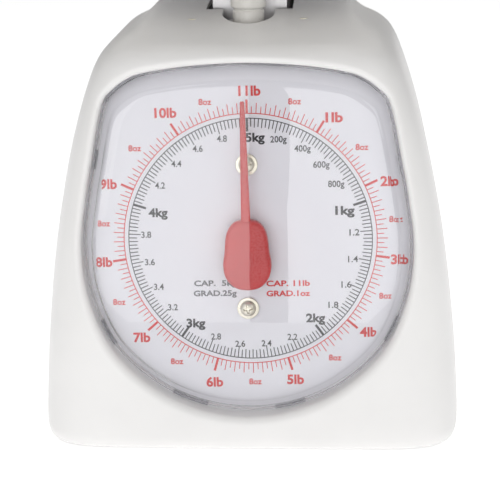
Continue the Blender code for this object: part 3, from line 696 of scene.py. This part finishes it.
def dimple_cutter(side):
    """A shallow smooth round hollow over a cover screw."""
    screw = box("cover_screw_right" if side > 0 else "cover_screw_left")
    middle = (*((screw[0] + screw[1]) / 2)[:2], 0.0)
    bowl = [(6.4 * sin(a), 215.9 - 4.0 * cos(a)) for a in np.radians(np.linspace(90, 0, 12))]
    profile = [(0, 222), (6.4, 222), *bowl[:-1], (0, bowl[-1][1])]
    return new_mesh("dimple_cutter", *lathe(profile, 48, middle), CASING_WHITE)


front = front_shell()
cutters = [slot_cutter(), dimple_cutter(-1), dimple_cutter(1)]
carve(front, *cutters)
bake(front, CASING_WHITE, 38.0)
discard(*cutters)
settle(front, "casing", ("front_cover",))
rear = rear_shell()
bake(rear, CASING_WHITE, 38.0)
settle(rear, "casing", ("rear_cover",))


# ---- dial and lens

# Rings of the lens: the window outline scaled across and up, and its height off the dial
LENS_RINGS = (
    (0.9925, 0.9925, 0.5), (0.992, 0.992, 4.0), (0.9895, 0.9885, 4.9), (0.960, 0.951, 8.4),
    (0.938, 0.922, 10.95), (0.930, 0.912, 11.7), (0.921, 0.901, 12.2), (0.911, 0.891, 12.48),
    (0.901, 0.881, 12.58),
    (0.84, 0.82, 12.63), (0.7, 0.7, 12.7), (0.45, 0.45, 12.8), (0.2, 0.2, 12.86)
)


def lens_piece():
    """Nearly flat front with a soft shoulder, and a border that slopes down to the dial."""
    loop = window_curve(300)
    rings = np.array([dial_point(loop[:, 0] * sx, loop[:, 1] * sy, off) for sx, sy, off in LENS_RINGS])
    obj = new_mesh("dial_lens_moulded", *skin(rings, cap_first=False), LENS_CLEAR)
    face_out(obj)
    wall = obj.modifiers.new("Wall", "SOLIDIFY")
    wall.thickness, wall.offset = 1.3 * MM, -1.0
    bake(obj, LENS_CLEAR, 50.0)
    settle(obj, "casing", ("dial_lens",))


def lens_clips():
    """Small catches on the collar's foot that hold the lens's flange, spread round the window."""
    loop = window_curve(720)
    away = outward(loop)
    shapes = []
    for bearing, half in ((8, 9), (-14, 6), (36, 10), (-38, 12), (64, 5), (-62, 5), (122, 7), (-124, 7),
                          (166, 8), (-160, 9)):
        middle = np.argmin(np.abs(np.angle(np.exp(1j * (np.arctan2(loop[:, 0], loop[:, 1])
                                                        - radians(bearing))))))
        reach = np.arange(middle - int(half / 0.75), middle + int(half / 0.75) + 1) % 720
        rings = []
        for i in reach:
            inner, outer = loop[i] - away[i] * 1.9, loop[i] - away[i] * 0.75
            section = ((*inner, 1.5), (*outer, 1.5), (*outer, 5.4), (*(inner * 0.4 + outer * 0.6), 5.4),
                       (*inner, 4.2))
            rings.append(to_dial(np.array(section)))
        shapes.append(skin(rings))
    return merged(*shapes)


PRINT_MIDDLE = (1.3, -0.9)
PRINT_TURN = radians(0.86)
INK_LOW, INK_TOP = -0.02, 0.12


def printed(points, low=INK_LOW):
    """Points of the print, X and Y about its own middle, in the scale's frame."""
    points = np.asarray(points, float)
    c, s = cos(PRINT_TURN), sin(PRINT_TURN)
    x, y = points[..., 0] * c - points[..., 1] * s, points[..., 0] * s + points[..., 1] * c
    off = points[..., 2] if points.shape[-1] == 3 else low
    return dial_point(x + PRINT_MIDDLE[0], y + PRINT_MIDDLE[1], off)


def circle(radius, width, steps=240):
    angle = 2 * pi * np.arange(steps) / steps
    way = np.stack([np.cos(angle), np.sin(angle)], 1)
    rings = [np.column_stack([way * r, np.full(steps, z)])
             for r, z in ((radius - width / 2, INK_LOW), (radius + width / 2, INK_LOW),
                          (radius + width / 2, INK_TOP), (radius - width / 2, INK_TOP))]
    verts = np.array(rings).reshape(-1, 3)
    faces = [[i % len(verts) for i in quad] for quad in grid(5, steps)]
    return printed(verts), faces


def ticks(angles, start, lengths, widths, inward):
    """One thin block for each graduation, from the ring inward or outward, as whole arrays."""
    angles = np.asarray(angles, float)
    way = np.stack([np.sin(angles), np.cos(angles)], 1)
    side = np.stack([way[:, 1], -way[:, 0]], 1)
    base = np.full(len(angles), start)
    end = start - lengths if inward else start + lengths
    corners = []
    for z in (INK_LOW, INK_TOP):
        for r, edge in ((base, -1), (base, 1), (end, 1), (end, -1)):
            flat = way * r[:, None] + side * (edge * widths / 2)[:, None]
            corners.append(np.column_stack([flat, np.full(len(angles), z)]))
    verts = np.stack(corners, 1).reshape(-1, 3)
    block = np.array([(0, 1, 2, 3), (7, 6, 5, 4), (0, 4, 5, 1), (1, 5, 6, 2), (2, 6, 7, 3), (3, 7, 4, 0)])
    faces = (block[None] + 8 * np.arange(len(angles))[:, None, None]).reshape(-1, 4).tolist()
    return printed(verts), faces


def metric_ticks():
    number = np.arange(200)
    lengths = np.where(number % 2 == 0, 4.6, 4.15)
    lengths = np.where(number % 8 == 0, 5.9, lengths)
    lengths = np.where(number % 40 == 0, 6.6, lengths)
    widths = np.where(number % 40 == 0, 1.15, 0.44)
    return ticks(number * 2 * pi / 200, 61.2, lengths, widths, True)


def pound_ticks():
    number = np.arange(176)
    lengths = np.where(number % 2 == 0, 5.3, 3.5)
    lengths = np.where(number % 16 == 0, 6.8, lengths)
    widths = np.where(number % 16 == 0, 1.15, 0.38)
    return ticks(number * 2 * pi / 176, 63.6, lengths, widths, False)


def lettering(text, x, y, wide, tall, bold=0.0):
    """One label centred on x and y of the print, its digits tall high and the whole wide across."""
    curve = bpy.data.curves.new("label", "FONT")
    curve.body, curve.size, curve.extrude, curve.offset = text, 1.0, 0.5, bold
    curve.resolution_u = 3
    holder = bpy.data.objects.new("label", curve)
    bpy.context.scene.collection.objects.link(holder)
    graph = bpy.context.evaluated_depsgraph_get()
    mesh = bpy.data.meshes.new_from_object(holder.evaluated_get(graph), depsgraph=graph)
    bm = bmesh.new()
    bm.from_mesh(mesh)
    bmesh.ops.remove_doubles(bm, verts=bm.verts, dist=1e-5)
    verts = np.array([v.co[:] for v in bm.verts])
    faces = [[v.index for v in f.verts] for f in bm.faces]
    bm.free()
    discard(holder)
    bpy.data.curves.remove(curve)
    bpy.data.meshes.remove(mesh)
    low, high = verts.min(0), verts.max(0)
    digits = 0.73
    flat_x = x + (verts[:, 0] - (low[0] + high[0]) / 2) * wide / (high[0] - low[0])
    flat_y = y + (verts[:, 1] - digits / 2) * tall / digits
    off = np.where(verts[:, 2] > 0, INK_TOP, INK_LOW)
    return printed(np.column_stack([flat_x, flat_y, off])), faces


POUND_LABELS = (("11lb", 1.6, 74.9), ("1lb", 43.1, 61.0), ("2lb", 69.8, 28.8), ("3lb", 74.6, -10.8),
                ("4lb", 58.6, -48.0), ("5lb", 21.3, -72.4), ("6lb", -20.0, -73.4), ("7lb", -56.6, -49.6),
                ("8lb", -74.4, -10.2), ("9lb", -70.4, 29.6), ("10lb", -40.4, 64.8))
OUNCE_LABELS = ((23.8, 69.2), (56.6, 46.0), (72.8, 9.6), (67.4, -29.4), (41.6, -61.2), (0.8, -73.4),
                (-39.0, -62.4), (-67.4, -31.0), (-73.6, 9.6), (-56.4, 47.4), (-20.6, 69.8))
KILO_LABELS = (("5kg", 3.8, 51.8), ("1kg", 47.7, 14.4), ("2kg", 32.1, -40.4), ("3kg", -28.7, -42.4),
               ("4kg", -45.9, 14.7))
GRAM_LABELS = (("200g", 15.4, 50.6), ("400g", 27.2, 45.8), ("600g", 36.4, 37.6), ("800g", 43.6, 27.8),
               ("1.2", 52.3, 3.2), ("1.4", 51.4, -10.4), ("1.6", 47.9, -23.4), ("1.8", 41.2, -33.8),
               ("2.2", 20.2, -50.2), ("2.4", 7.0, -53.4), ("2.6", -6.4, -53.5), ("2.8", -18.6, -49.6),
               ("3.2", -40.1, -34.1), ("3.4", -46.9, -23.4), ("3.6", -51.0, -10.6), ("3.8", -52.3, 3.5),
               ("4.2", -44.4, 28.4), ("4.4", -35.8, 39.2), ("4.6", -24.9, 46.6), ("4.8", -12.7, 51.4))
# Generic capacity and graduation legends, as rows of text, middle, width
METRIC_LEGEND = (("CAP.  5kg", -18.2, -21.9, 21.5), ("GRAD.25g", -18.4, -27.1, 21.8))
POUND_LEGEND = (("CAP. 11lb", 18.6, -22.4, 22.0), ("GRAD.1oz", 18.6, -27.6, 22.0))


def dial_print():
    red = [circle(63.6, 0.42), pound_ticks()]
    red += [lettering(text, x, y, 11.0 if len(text) > 3 else 8.6, 4.9, 0.032) for text, x, y in POUND_LABELS]
    red += [lettering("8oz", x, y, 6.4, 3.1, 0.022) for x, y in OUNCE_LABELS]
    red += [lettering(text, x, y, wide, 2.9, 0.028) for text, x, y, wide in POUND_LEGEND]
    black = [circle(61.2, 0.42), metric_ticks()]
    black += [lettering(text, x, y, 9.6, 4.4, 0.035) for text, x, y in KILO_LABELS]
    black += [lettering(text, x, y, 8.1 if len(text) > 3 else 5.0, 3.3, 0.012) for text, x, y in GRAM_LABELS]
    grey = [lettering(text, x, y, wide, 2.9, 0.028) for text, x, y, wide in METRIC_LEGEND]
    for name, shapes, ink in (("print_pounds", red, INK_RED), ("print_kilograms", black, INK_BLACK),
                              ("print_legend", grey, INK_GREY)):
        piece(name, merged(*shapes), ink)


SHANK_RADIUS, SHANK_END = 1.9, -15.4


def screw_head(up, turn):
    """Pan head with a cross recess: a height over radius and angle.

    The dome falls as an ellipse toward the rim, and the recess is as deep as the nearer of its
    two slots allows, fading out along each slot and toward the rim.
    """
    radius, height, sides, rows = 4.0, 2.45, 120, 44
    r = np.concatenate([np.linspace(0.0, 3.3, rows - 10)[1:], np.linspace(3.3, radius, 11)[1:]])
    angle = 2 * pi * np.arange(sides) / sides
    x, y = r[:, None] * np.cos(angle), r[:, None] * np.sin(angle)
    dome = 1.4 + height * np.sqrt(np.clip(1 - (r / radius) ** 2.6, 0, 1))[:, None] * np.ones(sides)
    a = x * cos(turn) + y * sin(turn)
    b = -x * sin(turn) + y * cos(turn)
    def arm(length, across):
        wide = np.clip((0.52 - np.abs(across)) / 0.14, 0, 1)
        return wide * np.clip((2.35 - np.abs(length)) / 0.5, 0, 1)
    cut = np.maximum(arm(a, b), arm(b, a))
    bowl = np.clip((1.25 - r[:, None]) / 0.6, 0, 1)
    depth = 1.35 * np.maximum(cut, bowl) * (1 - 0.25 * r[:, None] / radius)
    top = np.column_stack([x.ravel(), (y + up).ravel(), (dome - depth).ravel()])
    pole = [[0.0, up, 1.4 + height - 1.35]]
    lower = [np.column_stack([ring * np.cos(angle), ring * np.sin(angle) + up, np.full(sides, z)])
             for ring, z in ((radius, 1.25), (SHANK_RADIUS, 1.25), (SHANK_RADIUS, SHANK_END))]
    verts = np.vstack([top, *lower, pole, [[0.0, up, SHANK_END]]])
    rows_all = len(r) + 3
    faces = grid(rows_all, sides)
    faces += fan(list(range(sides)), rows_all * sides)
    faces += fan(list(range((rows_all - 1) * sides, rows_all * sides)), rows_all * sides + 1)
    return to_dial(verts), faces


def dial_screws():
    for name, turn in (("upper", 0.35), ("lower", 0.15)):
        node_name = f"dial_screw_{name}"
        middle = np.array([(a + b) / 2 for a, b in zip(*box(node_name))])
        up = (middle - DIAL) @ UP
        piece(f"cross_screw_{name}", screw_head(up, turn), SCREW_ZINC, instead=(node_name,), slot="zinc",
              angle=32.0)
        ring = rounded(((2.3, 0.3), (2.3, 1.1), (5.5, 1.1), (5.5, 0.3), (2.3, 0.3)), 0.25, 3)[:-1]
        verts, faces = lathe(ring[1:], 64)
        verts[:, 1] += up
        piece(f"washer_{name}", (to_dial(verts), faces), SCREW_ZINC, instead=(f"dial_washer_{name}",),
              slot="zinc")


POINTER_TURN = radians(1.1)     # the needle rests a little to the left of the top mark


def pointer_piece():
    """Pear hub with rolled edges and a raised middle, and a crowned needle that tapers to its tip."""
    loop = along(closed_curve(HUB, 24), 160)
    away = outward(loop)
    section = [(0.6, 4.0), (0.15, 4.15), (0.0, 4.6), (0.0, 8.6)]
    section += [(2.2 * (1 - cos(a)), 8.4 + 2.0 * sin(a)) for a in np.radians(np.linspace(8, 88, 7))]
    section += [(3.2, 10.48), (5.0, 10.55)]
    rings = [np.column_stack([loop - away * inset, np.full(160, off)]) for inset, off in section]
    middle = loop.mean(0)
    rings += [np.column_stack([middle + (loop - away * 5.0 - middle) * s, np.full(160, 10.58)])
              for s in (0.5, 0.1)]
    hub = skin(rings)
    needle = []
    for y, half, low, high in ((4.0, 2.3, 7.6, 9.8), (9.0, 2.3, 8.2, 9.8), (30.0, 1.95, 8.25, 9.8),
                               (60.0, 1.35, 8.3, 9.75), (69.0, 1.1, 8.35, 9.7), (69.5, 0.8, 8.6, 9.5)):
        crown = [(-half, low + 0.2), (-half * 0.8, low), (half * 0.8, low), (half, low + 0.2),
                 (half, high - 0.5), (half * 0.7, high - 0.1), (0.0, high), (-half * 0.7, high - 0.1),
                 (-half, high - 0.5)]
        needle.append([(x, y, off) for x, off in crown])
    verts, faces = merged(hub, skin(needle))
    c, s = cos(POINTER_TURN), sin(POINTER_TURN)
    verts[:, 0], verts[:, 1] = verts[:, 0] * c - verts[:, 1] * s, verts[:, 0] * s + verts[:, 1] * c
    piece("pear_pointer", (to_dial(verts), faces), POINTER_RED, "pointer", ("pointer",), "red", 45.0)


lens_piece()
piece("lens_catches", lens_clips(), LENS_CLEAR)
dial_print()
dial_screws()
pointer_piece()


# ---- knob, springs, feet, platform

def standing(node_name, profile, sides=64):
    """A turned piece about the middle of a CAD node, its profile's heights up from the node's foot."""
    low, high = box(node_name)
    middle = ((low[0] + high[0]) / 2, (low[1] + high[1]) / 2, low[2])
    return lathe(profile, sides, middle)


def knob_piece():
    low, high = box("zero_knob")
    tall = high[2] - low[2]
    profile = rounded(((0, 0), (8, 0), (8, 5.7), (7.3, 6.3), (7.3, 7.0), (9, 7.8), (9, tall - 1.4),
                       (7.6, tall), (0, tall)), 0.7, 4)
    piece("zero_knob_post", standing("zero_knob", profile), KNOB_WHITE, "zero_knob", ("zero_knob",),
          "white_abs")


def foot_pieces():
    for spot in ("front_left", "front_right", "rear_left", "rear_right"):
        tall = np.ptp([c[2] for c in box(f"foot_{spot}")])
        profile = rounded(((0, 0.5), (2.6, 0.5), (3.2, 0), (6.9, 0), (7.9, tall - 0.2), (7.9, tall),
                           (0, tall)), 0.5, 3)
        piece(f"rubber_foot_{spot}", standing(f"foot_{spot}", profile, 40), FOOT_RUBBER,
              instead=(f"foot_{spot}",), slot="rubber")


def tube(path, radius, sides=8):
    """A round wire along a path: its rings turn with the path without twisting."""
    path = np.asarray(path, float)
    way = unit(np.gradient(path, axis=0))
    side = unit(np.cross(way[0], (0.3, 0.9, 0.2)))
    rings = []
    angle = 2 * pi * np.arange(sides) / sides
    for point, ahead in zip(path, way):
        side = unit(side - ahead * (side @ ahead))
        other = np.cross(ahead, side)
        rings.append(point + radius * (np.cos(angle)[:, None] * side + np.sin(angle)[:, None] * other))
    return skin(rings)


def spring_path(low, high, x, y):
    """A hook from the yoke up into the coil's side, the close coil, and a hook to the hanger."""
    radius, turns, steps = 6.0, 19, 24
    foot, head = low + 9.0, high - 9.0
    a = 2 * pi * turns * np.linspace(0, 1, turns * steps + 1)
    coil = np.column_stack([x + radius * np.cos(a), y + radius * np.sin(a),
                            np.linspace(foot, head, len(a))])
    def hook(z_end, z_coil):
        t = np.linspace(0, 1, 12)
        ease = t * t * (3 - 2 * t)
        return np.column_stack([x + radius * ease, np.full(12, y), z_end + (z_coil - z_end) * t])
    return np.vstack([hook(low, foot)[:-1], coil, hook(high, head)[::-1][1:]])


def spring_pieces():
    for name in ("left", "right"):
        low, high = box(f"spring_{name}")
        x, y = (low[0] + high[0]) / 2, (low[1] + high[1]) / 2
        shape = tube(spring_path(low[2], high[2], x, y), 0.8)
        obj = piece(f"coil_spring_{name}", shape, SPRING_WIRE, None, slot=None, angle=60.0)
        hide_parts(f"spring_{name}")
        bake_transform(obj)


def square_loop(half, radius, steps=14):
    quarter = np.radians(np.linspace(0, 90, steps))
    loop = []
    for k in range(4):
        a = quarter + k * pi / 2
        middle = (half - radius) * np.array(((1, 1), (-1, 1), (-1, -1), (1, -1))[k])
        loop.append(middle + radius * np.stack([np.cos(a), np.sin(a)], 1))
    return np.vstack(loop)


def platform_piece():
    """Drawn stainless tray: a soft top edge, a straight skirt and a thin rolled hem inside it."""
    low, high = box("platform_cover")
    half, radius, gauge = (high[0] - low[0]) / 2, 12.0, 1.1
    top, foot, n = high[2], low[2], len(square_loop(half, radius))
    section = [(gauge, foot), (0.3, foot), (0.0, foot + 0.3)]
    section += [(3.2 * (1 - cos(a)), top - 3.2 * (1 - sin(a))) for a in np.radians(np.linspace(0, 90, 9))]
    section += [(6.0, top), (14.0, top), (45.0, top)]
    outer = [np.column_stack([square_loop(half - inset, max(radius - inset, 1.5)), np.full(n, z)])
             for inset, z in section]
    inner = [np.column_stack([square_loop(half - inset, max(radius - inset, 1.5)), np.full(n, z)])
             for inset, z in ((45.0, top - gauge), (6.0, top - gauge), (2.2, top - gauge - 0.5),
                              (gauge, top - gauge - 2.0))]
    verts, faces = skin(np.array(outer), cap_first=False)
    under, more = skin(np.array(inner), cap_first=True, cap_last=False)
    faces += [[i + len(verts) for i in f] for f in more]
    last = len(verts) + 3 * n
    faces += [[i, last + i, last + (i + 1) % n, (i + 1) % n] for i in range(n)]
    piece("platform_tray", (np.vstack([verts, under]), faces), PLATFORM_STEEL, "carriage",
          ("platform_cover",), "stainless")


knob_piece()
foot_pieces()
spring_pieces()
platform_piece()


# ---- finishes of the carried-over CAD

FINISH = {
    DIAL_WHITE: "dial_plate", BASE_WHITE: "base_plate platform_core",
    SHEET_STEEL: "chassis_base rear_upright front_upright spring_hanger pinion_bracket carriage_frame "
                 "lower_link upper_link platform_support dial_spacer_upper dial_spacer_lower "
                 "cover_post_left cover_post_right",
    BRACKET_STEEL: "platform_bracket zero_tongue",
    PIN_STEEL: "lower_chassis_pin upper_chassis_pin lower_carriage_pin upper_carriage_pin pointer_shaft",
    SCREW_ZINC: "base_screw_front_left base_screw_front_right base_screw_rear_left "
                "base_screw_rear_right cover_screw_left cover_screw_right bracket_screw_left "
                "bracket_screw_right zero_screw",
    GEAR_BRASS: "front_bush rear_bush rack_hanger rack pinion",
}
for finish, names in FINISH.items():
    for name in names.split():
        part = frame["nodes"][name]
        part.data.materials.clear()
        part.data.materials.append(finish)


# ---- studio

VIEW_PLACE = (52.4, -842.8, 320.5)
VIEW_TURN, VIEW_RISE, VIEW_ROLL = radians(3.8), radians(16), radians(-1.0)
# Softboxes in metres and watts: where each hangs, what it faces, its size and its power
SOFTBOXES = {
    "front_left_box": ((-1.1, -1.7, 0.75), (0, 0, 0.1), (1.7, 1.7), 5.6),
    "front_right_box": ((1.4, -1.4, 0.9), (0, 0, 0.1), (0.8, 1.2), 4.2),
    "low_left_box": ((-0.32, -1.2, 0.0), (-0.32, 0.0, 0.0), (0.5, 0.6), 1.6),
    "low_right_box": ((0.23, -1.2, 0.0), (0.23, 0.0, 0.0), (0.5, 0.6), 1.6),
    "top_box": ((0, 0.2, 2.0), (0, 0, 0.1), (2.2, 2.2), 21.0),
}


def camera():
    back = Vector((sin(VIEW_TURN) * cos(VIEW_RISE), -cos(VIEW_TURN) * cos(VIEW_RISE), sin(VIEW_RISE)))
    lens = bpy.data.cameras.new("viewpoint")
    lens.sensor_width, lens.lens, lens.clip_start = 36.0, 115.2, 0.01
    obj = bpy.data.objects.new("viewpoint", lens)
    bpy.context.scene.collection.objects.link(obj)
    turn = back.to_track_quat("Z", "Y").to_matrix() @ Matrix.Rotation(VIEW_ROLL, 3, "Z")
    obj.matrix_world = Matrix.Translation(Vector(VIEW_PLACE) * MM) @ turn.to_4x4()
    bpy.context.scene.camera = obj


def softbox(name, at, aim, size, power):
    light = bpy.data.lights.new(name, "AREA")
    light.shape, light.size, light.size_y, light.energy = "RECTANGLE", *size, power
    obj = bpy.data.objects.new(name, light)
    bpy.context.scene.collection.objects.link(obj)
    way = Vector(aim) - Vector(at)
    obj.location, obj.rotation_euler = at, way.to_track_quat("-Z", "Y").to_euler()


def studio():
    world = bpy.data.worlds.new("white_room")
    world.use_nodes = True
    tree = world.node_tree
    seen = node(tree, "LightPath").outputs["Is Camera Ray"]
    strength = span(tree, seen, 0.0, 1.0, 0.34, 1.1)
    tree.links.new(strength, tree.nodes["Background"].inputs["Strength"])
    tree.nodes["Background"].inputs["Color"].default_value = (1.0, 1.0, 1.0, 1.0)
    bpy.context.scene.world = world
    mat, tree, shader, place = start_material("floor_paper")
    cloud = group_node(tree, GRAIN, {"Vector": place, "Size": 300.0, "Height": 0.02})
    tree.links.new(blend_colour(tree, cloud["Broad"], (0.9, 0.9, 0.9), (0.93, 0.93, 0.93)),
                   shader.inputs["Base Color"])
    shader.inputs["Roughness"].default_value = 0.9
    shader.inputs["Emission Color"].default_value = (1.0, 1.0, 1.0, 1.0)
    shader.inputs["Emission Strength"].default_value = 0.5
    verts = [(-6000, -500, -0.2), (6000, -500, -0.2), (6000, 9000, -0.2), (-6000, 9000, -0.2)]
    floor = new_mesh("floor", verts, [[0, 1, 2, 3]], mat)
    if floor.data.polygons[0].normal.z < 0:
        floor.data.flip_normals()
    for name, setting in SOFTBOXES.items():
        softbox(name, *setting)
    bpy.context.scene.view_settings.view_transform = "Standard"


camera()
studio()
